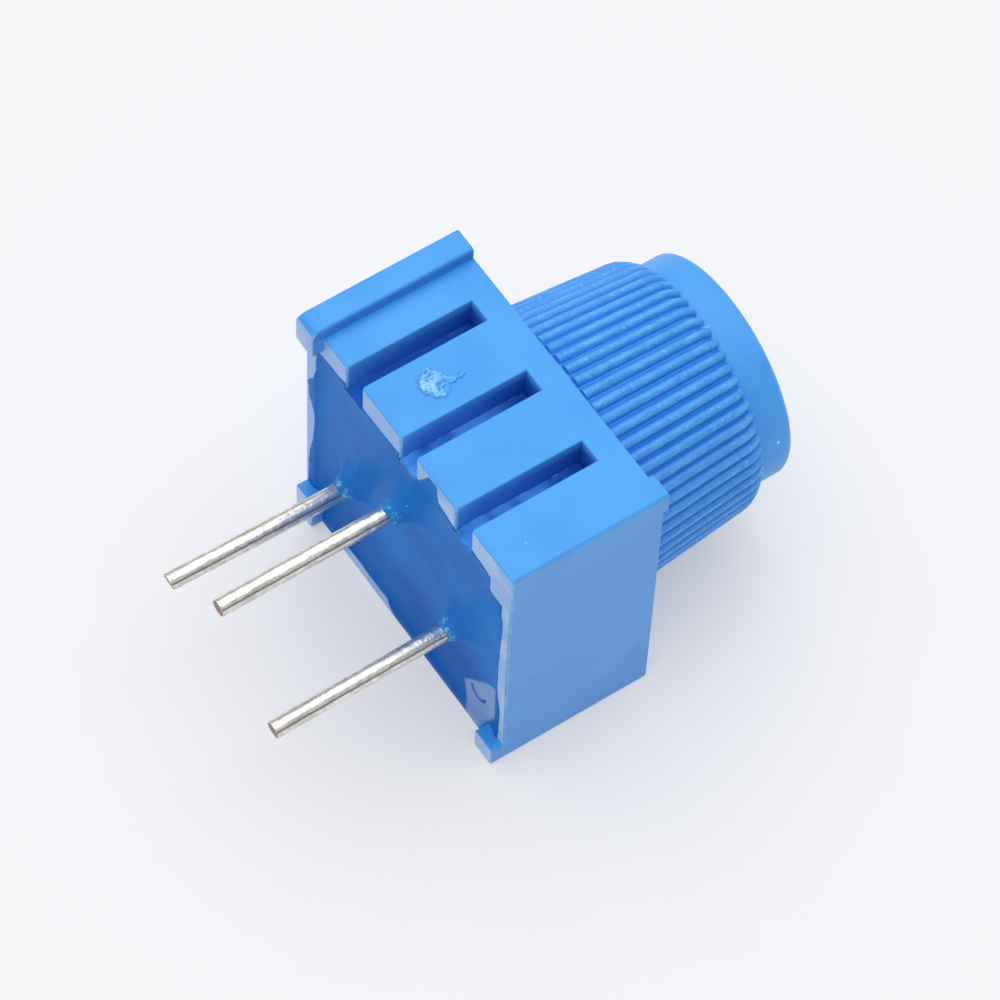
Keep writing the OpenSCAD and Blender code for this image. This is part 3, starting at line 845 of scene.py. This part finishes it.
def points_of(mesh):
    """A mesh's points as rows of an array."""
    flat = np.empty(len(mesh.vertices) * 3)
    mesh.vertices.foreach_get("co", flat)
    return flat.reshape(-1, 3)


wire_profile = [(0, WIRE_TIP), (WIRE_R * 0.5, WIRE_TIP)]
wire_profile += arc((WIRE_R - TIP_ROUND, WIRE_TIP + TIP_ROUND), TIP_ROUND, -90, 0, 3)
wire_profile += line((WIRE_R, WIRE_TIP + 2 * TIP_ROUND), (WIRE_R, COLLAR_Y), WIRE_STEPS)
wire_profile += [(WIRE_R, COLLAR_Y), (COLLAR_R, COLLAR_Y), (COLLAR_R, HEAD_Y), (HEAD_R, HEAD_Y)]
wire_profile += [(HEAD_R, HEAD_END), (0, HEAD_END)]

for i, (pin_z, (bend_x, bend_z), slant) in enumerate(zip(PIN_Z, PIN_BEND, PIN_SLANT)):
    wire = turn_piece(
        f"wire_{i + 1}", wire_profile, Ridges=1, Steps=WIRE_SIDES, Ridge_height=0.0, Ridge_width=1.0,
        Ridge_fullness=1.0, Lump_share=0.06, Lump_size=0.4, Seed=11.0 + i, Finish=wire_finish,
    )
    points = points_of(wire.data)
    paint(wire.data, "cut_end", points[:, 1] < WIRE_TIP + CUT_DEPTH)
    free_share = np.clip(points[:, 1] / WIRE_TIP, 0, 1) ** BEND_CURVE
    at_tip = np.clip(1 - (points[:, 1] - WIRE_TIP) / TIP_REACH, 0, 1)
    points[:, 1] += at_tip * (slant * points[:, 2] + WIRE_R * abs(slant))
    points[:, 0] += bend_x * free_share
    points[:, 2] += bend_z * free_share
    wire.data.vertices.foreach_set("co", points.ravel())
    into_frame(wire, (i - 1) * PIN_PITCH, pin_z)
    wire.data.set_sharp_from_angle(angle=WIRE_SHARP)
    finish_piece(wire, None, "case", "tinned_wire", f"terminal_{i + 1}")

# %% [markdown]
# ## Poured resin
#
# The rear is closed with resin that was poured in and drew itself up: round each wire, along the walls, and
# in places over the rim, where it left a thin skin with a wandering border. A fluid simulation could find
# such a surface, but a height map is quicker and can be steered: each rule of the pour is one line of
# arithmetic on a grid. The grid is then closed to a solid, whose hidden part lies inside the plastic, so the
# border that shows is simply where the skin dips under the rim.

# %% Height map tools
def rise_between(low, high, values):
    """0 below low, 1 above high, and a smooth rise between them."""
    share = np.clip((values - low) / (high - low), 0, 1)
    return share * share * (3 - 2 * share)


def ripple(u, v, size, seed):
    """Seeded noise from about -1 to 1 over a grid, with waves of the given size."""
    flat = [noise.noise((a / size, b / size, seed)) for a, b in zip(u.ravel(), v.ravel())]
    return np.array(flat).reshape(u.shape)


def cells(marked, join):
    """The grid's cells, by their four marked corners: all of them or any of them, as join says."""
    return join.reduce([marked[:-1, :-1], marked[1:, :-1], marked[:-1, 1:], marked[1:, 1:]])


def relief(name, top, keep, axis, base, **painted):
    """Closes a grid of points to a solid: the kept cells, walls down to a base, and the base itself."""
    shape = bmesh.new()
    numbers = np.full(top.shape[:2], -1)
    used = np.zeros(top.shape[:2], bool)
    for du, dv in ((0, 0), (1, 0), (0, 1), (1, 1)):
        used[du:du + keep.shape[0], dv:dv + keep.shape[1]] |= keep
    numbers[used] = np.arange(used.sum())
    corners = [shape.verts.new(point) for point in top[used]]
    for u, v in np.argwhere(keep):
        ring = numbers[u, v], numbers[u + 1, v], numbers[u + 1, v + 1], numbers[u, v + 1]
        shape.faces.new([corners[n] for n in ring])
    rim = [edge for edge in shape.edges if edge.is_boundary]
    walls = bmesh.ops.extrude_edge_only(shape, edges=rim)["geom"]
    for part in walls:
        if isinstance(part, bmesh.types.BMVert):
            part.co[axis] = base
    bmesh.ops.holes_fill(shape, edges=[edge for edge in shape.edges if edge.is_boundary], sides=0)
    bmesh.ops.recalc_face_normals(shape, faces=shape.faces)
    for face in shape.faces:
        face.smooth = True
    mesh = bpy.data.meshes.new(name)
    shape.to_mesh(mesh)
    shape.free()
    for label, values in painted.items():
        spread = np.zeros(len(mesh.vertices))
        spread[:used.sum()] = values[used]
        paint(mesh, label, spread)
    piece = bpy.data.objects.new(name, mesh)
    bpy.context.scene.collection.objects.link(piece)
    return piece


def inside(polygon, x, y):
    """Distance from the nearest side of a convex outline, positive inside it; its points run clockwise."""
    nearest = np.full(x.shape, np.inf)
    for (x0, y0), (x1, y1) in zip(polygon, polygon[1:] + polygon[:1]):
        run = math.hypot(x1 - x0, y1 - y0)
        nearest = np.minimum(nearest, ((y1 - y0) * (x - x0) - (x1 - x0) * (y - y0)) / run)
    return nearest


print("height map tools ready")

# %% Resin finish
RESIN_BLUE = (0.030, 0.230, 0.715)
RESIN_DEEP = (0.007, 0.115, 0.480)
RESIN_TEAL = (0.020, 0.360, 0.650)
RESIN_REFLECTION_PALE = (0.190, 0.380, 0.740)
RESIN_CREASE_SHADE = (0.012, 0.080, 0.340)
RESIN_GLINT = (0.450, 0.660, 0.880)

resin_finish, bench, shader, spot = new_finish("potting_resin", Specular_IOR_Level=0.02, Coat_Roughness=0.2)
_, _, z = split(bench, spot)
cloud = bench.noise(spot, 0.45, detail=3.0).step(0.35, 0.7)
low_down = 1 - z.step(-3.4, -0.8)
colour = bench.mix((1 - cloud) * 0.4 + low_down * 0.5, RESIN_BLUE, RESIN_DEEP)
sheen = bench.attribute("sheen")
collar = bench.attribute("collar")
crease = bench.attribute("crease")
# Painted reflection: a pale patch where the resin's sloped corner would mirror the bright paper. The same mask
# also gives a real coat.
colour = bench.mix(sheen * 0.85, colour, RESIN_REFLECTION_PALE)
# Painted shade in the crease by the pale patch, which is also a real dip in the resin.
colour = bench.mix(crease * 0.8, colour, RESIN_CREASE_SHADE)
glint = bench.noise(spot, 6.0, detail=3.0)
colour = bench.mix(collar * glint.step(0.4, 0.6) * 0.8, colour, RESIN_TEAL)
colour = bench.mix(collar * glint.step(0.58, 0.66) * 0.6, colour, RESIN_GLINT)
bubbles = bench.add("ShaderNodeTexVoronoi", {"feature": "F1"}, {"Vector": spot, "Scale": 1.9})
bubble = 1 - bubbles.step(0.025, 0.05)
colour = bench.mix(bubble * 0.7, colour, RESIN_GLINT)
bench.feed(shader, {
    "Base Color": colour,
    "Roughness": 0.3 + cloud * 0.1,
    "Coat Weight": sheen * 0.5 + collar * glint * 0.5,
    "Normal": bump(bench, bench.noise(spot, 1.6, detail=2.0), 0.02),
})
print("finish", resin_finish.name)

# %% Borders of the resin
CELL = 0.045
BORDER_WANDER = 0.03
LEFT_EDGE = (
    (-4.6, -4.73), (-2.7, -4.71), (-1.9, -4.65), (-1.4, -4.53), (0.1, -4.43), (0.4, -4.50),
    (0.8, -4.70), (1.45, -4.75), (1.8, -4.53), (2.4, -4.36), (3.3, -4.37),
)
RIGHT_EDGE = (
    (-4.7, 4.50), (-2.7, 4.60), (-1.4, 4.37), (0.1, 4.42), (1.85, 4.50), (2.4, 4.36),
    (2.57, 4.13), (2.83, 3.76), (3.5, 3.74),
)
LOW_EDGE = ((-3.0, -4.72), (-2.7, -4.37), (-0.8, -4.36), (-0.5, -4.70), (4.5, -4.72))
TOP_EDGE = (
    (-4.3, 3.45), (-3.0, 3.60), (-1.9, 3.50), (-0.5, 3.62), (0.5, 3.55), (0.74, 3.95), (0.95, 4.33),
    (1.32, 4.33), (1.40, 3.72), (2.1, 3.50), (2.9, 3.55), (3.75, 3.42),
)

xs = np.arange(-HALF_W + CELL / 2, HALF_W, CELL)
zs = np.arange(-HALF_W + CELL / 2, FACE_Z + CELL, CELL)
gx, gz = np.meshgrid(xs, zs, indexing="ij")


def edge_at(edge, values):
    """A border's place, read between its points."""
    return np.interp(values, *zip(*edge))


margin = np.minimum.reduce([
    gx - edge_at(LEFT_EDGE, gz), edge_at(RIGHT_EDGE, gz) - gx,
    gz - edge_at(LOW_EDGE, gx), edge_at(TOP_EDGE, gx) - gz,
]) + BORDER_WANDER * ripple(gx, gz, 0.3, 2.5)
print(f"{gx.size} grid points, {(margin > 0).mean():.0%} of them inside the border")

# %% Pour the resin
POCKET_HALF, ROOF_Z = 4.345, 3.315
POST_X, POST_Z = 3.785, 2.665
SINK, FILM, HIDDEN, TUCK, BASE_Y = 0.10, 0.022, 0.06, 0.12, 0.3
CREEP_H, CREEP_RUN = 0.09, 0.22
POOL_WAVE, SKIN_WAVE = 0.02, 0.010
PIN_RISE = (0.62, 0.82, 0.62)
PIN_SPREAD = (0.90, 0.98, 0.90)
FILLET_R, FILLET_CURVE = 0.25, 2.6
WEB_H, WEB_W, WEB_LEAN = 0.06, 0.16, 0.15
REFLECTION_PATCH = [(2.71, -3.42), (3.64, -2.33), (4.34, -1.67), (4.36, -3.20), (3.67, -4.80), (3.07, -4.73)]
CREASE_PLACE, CREASE_R, CREASE_W, CREASE_DEPTH = (3.42, -3.26), 0.30, 0.05, 0.05

wall = np.minimum.reduce([POCKET_HALF - abs(gx), gz + POCKET_HALF, ROOF_Z - gz])
wall = np.minimum(wall, np.maximum(POST_X - gx, POST_Z - gz))
pool = CREEP_H * np.exp(-np.maximum(wall, 0) / CREEP_RUN) - SINK + POOL_WAVE * ripple(gx, gz, 1.7, 4.1)
skin = FILM + SKIN_WAVE * ripple(gx, gz, 0.35, 7.7)
height = pool + (skin - pool) * rise_between(-0.06, 0.05, -wall)
covered = rise_between(-0.02, 0.05, margin)
height = height * covered - HIDDEN * (1 - covered)
collar = np.zeros(gx.shape)
for i, (pin_z, pin_rise, spread) in enumerate(zip(PIN_Z, PIN_RISE, PIN_SPREAD)):
    dx, dz = gx - (i - 1) * PIN_PITCH, gz - pin_z
    away = np.hypot(dx, dz)
    height += pin_rise * np.clip((spread - away) / (spread - FILLET_R), 0, 1) ** FILLET_CURVE
    web = np.exp(-((dx - WEB_LEAN * dz) / WEB_W) ** 2) * rise_between(0, 0.4, dz)
    height += WEB_H * web * (1 - rise_between(0.6, 1.5, dz))
    collar = np.maximum(collar, 1 - rise_between(0.28, 0.42, away))
# The patch of painted reflection at the low corner, with a wandering border.
sheen = rise_between(0.0, 0.12, inside(REFLECTION_PATCH, gx, gz) + 0.04 * ripple(gx, gz, 0.5, 9.2))
# A real dip in the resin along a curve, which the finish also darkens as painted shade.
from_dark_line = np.hypot(gx - CREASE_PLACE[0], gz - CREASE_PLACE[1]) - CREASE_R
crease = np.exp(-(from_dark_line / CREASE_W) ** 2) * rise_between(-0.12, 0.06, CREASE_PLACE[1] - gz)
height -= CREASE_DEPTH * crease
print(f"resin from {height.min():.2f} to {height.max():.2f} mm behind the rim")


# %% Close the resin to a solid
def off_slot(x):
    """Distance from the middle of the nearest slot."""
    return abs(x - SLOT_PITCH * np.round(x / SLOT_PITCH))


at_slot = (off_slot(gx) < SLOT_W / 2 + 0.03) & (abs(gx) < SLOT_REACH) & (gz > ROOF_Z)
resin_keep = cells((margin > -TUCK) & ~at_slot & (gz < FACE_Z - 0.03), np.logical_and)
resin = relief(
    "resin_skin", np.stack([gx, -height, gz], -1), resin_keep, 1, BASE_Y,
    sheen=sheen, collar=collar, crease=crease,
)
into_frame(resin)
finish_piece(resin, resin_finish, "case", "potting_resin")

# %% [markdown]
# ## Resin in the slots
#
# The slots open into the pocket, so the resin has crept along their floors and dried to a thin film with a
# ragged border at the walls, whose shine is a painted highlight. The film is dark and dull in the slot beside
# the rib, and darker towards each slot's far end as painted shade. Below it is the block of resin
# that was packed. Its drawn-up lips in the slots' mouths are let down, so that the film alone shows there. A
# colour on the floor alone would leave a hard step where plastic and resin meet, and a film is what is
# really there.

# %% Film finish
FILM_BLUE = (0.080, 0.360, 0.940)
FILM_DEEP = (0.012, 0.120, 0.540)
FILM_EDGE_HIGHLIGHT = (0.300, 0.600, 0.920)

film_finish, bench, shader, spot = new_finish("crept_resin", Specular_IOR_Level=0.1)
x, y, _ = split(bench, spot)
border = bench.attribute("border")
patches = bench.noise(spot, 1.2, detail=3.0)
ragged = bench.noise(spot, 4.5, detail=4.0, roughness=0.65)
# Darker in random patches and in the slot beside the rib. The darkening towards each slot's far end is painted
# shade.
deep = patches.step(0.4, 0.7).at_least(y.step(2.2, 3.6)).at_least(1 - x.step(-2.0, -1.0))
colour = bench.mix(deep, FILM_BLUE, FILM_DEEP)
# Painted highlight: pale ragged dashes along the film's border at the walls, left out in the slot beside the
# rib.
edge_highlight = border.step(0.5, 1.0) * ragged.step(0.46, 0.60) * x.step(-2.0, -1.0)
colour = bench.mix(edge_highlight * 0.7, colour, FILM_EDGE_HIGHLIGHT)
bench.feed(shader, {
    "Base Color": colour,
    "Roughness": 0.25 + patches * 0.15,
    "Normal": bump(bench, ragged, 0.01),
})

print("finish", film_finish.name)

# %% Film on the slot floors
FILM_CELL, FILM_H, FILM_ROOT, FILM_TUCK, FILM_WAVE = 0.03, 0.015, 0.06, 0.025, 0.008
WALL_RISE, WALL_RUN, LIP_H = 0.04, 0.05, 0.06

film_xs, film_ys = np.arange(-SLOT_REACH, SLOT_REACH, FILM_CELL), np.arange(0.0, SLOT_END, FILM_CELL)
fx, fy = np.meshgrid(film_xs, film_ys, indexing="ij")
to_wall = SLOT_W / 2 - off_slot(fx)
creep = np.exp(-np.maximum(to_wall, 0) / WALL_RUN) * (1 + 0.8 * ripple(fx, fy, 0.2, 1.5))
lip = LIP_H * rise_between(0.1, 0.5, fy) * (1 - rise_between(0.6, 1.1, fy))
film_top = ROOF_Z + FILM_H + WALL_RISE * creep + lip + FILM_WAVE * ripple(fx, fy, 0.4, 6.1)
film_keep = cells((to_wall > -FILM_TUCK) & (abs(fx) < SLOT_REACH), np.logical_and)
film = relief(
    "slot_film", np.stack([fx, fy, film_top], -1), film_keep, 2, ROOF_Z - FILM_ROOT,
    border=np.clip(creep, 0, 1),
)
into_frame(film)
finish_piece(film, film_finish, "case", "potting_resin")

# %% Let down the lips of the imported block
BLOCK_TOP = ROOF_Z - 0.01
CRUSHED = 0.001

block = merged_copy("potting", "potting_block")
points = points_of(block.data)
points[:, 2] = np.minimum(points[:, 2], (BLOCK_TOP + SHAFT_Z) * MM)
block.data.vertices.foreach_set("co", points.ravel())
shape = bmesh.new()
shape.from_mesh(block.data)
bmesh.ops.dissolve_degenerate(shape, dist=CRUSHED * MM, edges=shape.edges)
shape.to_mesh(block.data)
shape.free()
finish_piece(block, resin_finish, "case", "potting_resin", "potting")

# %% [markdown]
# ## Gate scar
#
# On the slotted face there is a rough round spot: here the plastic was fed into the mould, and the sprue was
# twisted off. Stretched plastic turns pale, so the scar is lighter than the face, most of all on the side
# that tore last. A bump map alone would vanish in a low view, so the wrinkles are real relief from the same
# height map tools. Towards its border the scar takes the colour of the face, so no outline shows.

# %% Scar finish
SCAR_GLINT = (0.480, 0.780, 0.950)
SCAR_PALE = (0.220, 0.580, 0.920)
SCAR_PIT_SHADE = (0.030, 0.300, 0.780)
SCAR_PLACE = (-1.27, 1.63)

scar_finish, bench, shader, spot = new_finish("torn_plastic", Specular_IOR_Level=0.5)
_, y, _ = split(bench, spot)
crest = bench.attribute("crest")
torn = bench.attribute("torn")
streak = bench.noise(spot, 6.0, detail=4.0)
last_torn = 1 - y.step(SCAR_PLACE[1] - 0.15, SCAR_PLACE[1] + 0.45) * 0.6
# Painted highlight and shade by the relief's height: the lumps paler, the pits darker, and SCAR_GLINT a
# painted glint on the highest lumps. The scar's overall pallor is the stretched plastic's own.
lump_light = crest * 0.8 + (streak - 0.5) * 0.9
scarred = bench.mix(lump_light.step(0.25, 0.65), SCAR_PIT_SHADE, SCAR_PALE)
scarred = bench.mix(lump_light.step(0.62, 0.85) * last_torn, scarred, SCAR_GLINT)
bench.feed(shader, {
    "Base Color": bench.mix(torn * last_torn, HOUSING_BLUE, scarred),
    "Roughness": 0.35 + streak * 0.2,
    "Normal": bump(bench, streak, 0.02),
})
print("finish", scar_finish.name)

# %% Scar relief
SCAR_CELL, SCAR_H, SCAR_DIP, SCAR_ROOT = 0.02, 0.07, 0.02, 0.1
SCAR_SPAN_X, SCAR_SPAN_Y = (-2.1, -0.4), (0.9, 2.7)
SCAR_R = (0.54, 0.47)
TAIL_PLACE, TAIL_R = (-1.14, 2.20), (0.13, 0.36)

sx, sy = np.meshgrid(np.arange(*SCAR_SPAN_X, SCAR_CELL), np.arange(*SCAR_SPAN_Y, SCAR_CELL), indexing="ij")
ragged = 0.16 * ripple(sx, sy, 0.22, 5.5) + 0.10 * ripple(sx, sy, 0.09, 6.5)


def oval_share(centre, radii):
    """1 at the middle of an oval, 0 on its ragged border and less outside it."""
    return 1 - np.hypot((sx - centre[0]) / radii[0], (sy - centre[1]) / radii[1]) + ragged


inner_share = np.maximum(oval_share(SCAR_PLACE, SCAR_R), oval_share(TAIL_PLACE, TAIL_R))
share = rise_between(0.0, 0.25, inner_share)
wrinkles = 1 - abs(ripple(sx, sy, 0.16, 8.1)) * 1.6 + 0.35 * ripple(sx, sy, 0.06, 3.3)
scar_height = share * SCAR_H * np.clip(wrinkles, 0.05, 1.2) - SCAR_DIP * (1 - share)
scar_keep = cells(share > 0.01, np.logical_or)
scar = relief(
    "gate_scar", np.stack([sx, sy, FACE_Z + scar_height], -1), scar_keep, 2, FACE_Z - SCAR_ROOT,
    crest=np.clip(scar_height / SCAR_H, 0, 1), torn=rise_between(0.02, 0.35, inner_share),
)
into_frame(scar)
finish_piece(scar, scar_finish, "case", "housing_plastic")

# %% [markdown]
# ## Inner pieces
#
# Ceramic, printed films, rotor, wiper and seal lie inside and show only when the part is taken apart. Their
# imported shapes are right, so they keep them. Each gets a finish of its own from one function: two tones that
# drift, a grain in the right size and a little relief.


# %% Finishes of the inner pieces
def grained(name, light, dark, grain_size, relief_h, roughness, metallic=0.0):
    """Two drifting tones with a grain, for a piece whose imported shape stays."""
    material, bench, shader, spot = new_finish(name, Metallic=metallic)
    grain = bench.noise(spot, 1 / grain_size, detail=4.0)
    bench.feed(shader, {
        "Base Color": bench.mix(grain.step(0.3, 0.7), light, dark),
        "Roughness": roughness + (grain - 0.5) * 0.15,
        "Normal": bump(bench, grain, relief_h),
    })
    return material


INNER_FINISHES = {
    "substrate": grained("alumina", (0.88, 0.86, 0.80), (0.80, 0.77, 0.70), 0.10, 0.006, 0.55),
    "resistive_track": grained("cermet", (0.11, 0.11, 0.12), (0.05, 0.05, 0.06), 0.05, 0.004, 0.50),
    "conductors": grained("silver_film", (0.80, 0.79, 0.75), (0.62, 0.60, 0.55), 0.08, 0.004, 0.35, 1.0),
    "rotor": grained("rotor_plastic", (0.86, 0.84, 0.76), (0.78, 0.75, 0.66), 0.15, 0.006, 0.45),
    "wiper": grained("contact_metal", (0.80, 0.62, 0.28), (0.66, 0.48, 0.20), 0.12, 0.003, 0.30, 1.0),
    "seal_ring": grained("seal_rubber", (0.42, 0.08, 0.05), (0.30, 0.05, 0.03), 0.06, 0.008, 0.65),
}
for node_name, material in INNER_FINISHES.items():
    nodes[node_name].data.materials.clear()
    nodes[node_name].data.materials.append(material)
print("inner finishes:", ", ".join(INNER_FINISHES))
